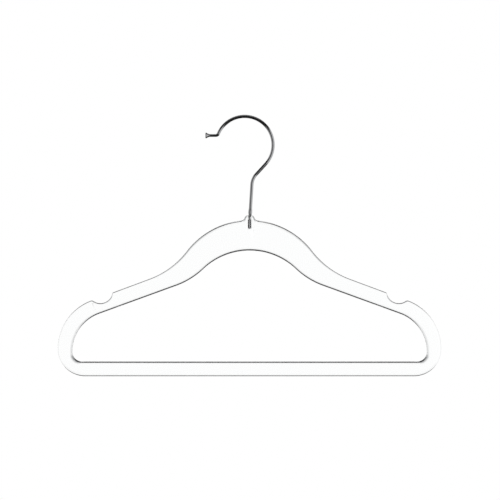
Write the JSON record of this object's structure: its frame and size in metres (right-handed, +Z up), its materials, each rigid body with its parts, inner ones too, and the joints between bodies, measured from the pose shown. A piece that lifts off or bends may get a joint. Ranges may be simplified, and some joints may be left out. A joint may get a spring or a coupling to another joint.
{
  "type": "clothes hanger",
  "caption": "Clear one-piece plastic clothes hanger with an arched crown, strap notches and a full-width trouser bar, hung from a chromed wire hook that swivels in its neck.",
  "frame": {"origin": "where a rail carries the hook: the point of the hook's inner curve straight above the swivel axis", "axes": "+X along the hanger, +Y through its thickness with the front face towards -Y, +Z up along the swivel axis"},
  "size_m": [0.3556, 0.0068, 0.2423],
  "materials": {
    "clear_plastic": "water-clear moulded plastic, polished faces",
    "chromed_wire": "bright chrome plate",
    "sleeve_steel": "dull plated steel"
  },
  "bodies": {
    "hook": {"swivel_hook": "chromed_wire", "retaining_sleeve": "sleeve_steel"},
    "frame": {"clear_frame": "clear_plastic"}
  },
  "joints": [
    {"name": "hook_swivel", "type": "hinge", "parent": "hook", "child": "frame", "pos_m": [0, 0, -0.09187], "axis": [0, 0, 1], "continuous": true}
  ]
}
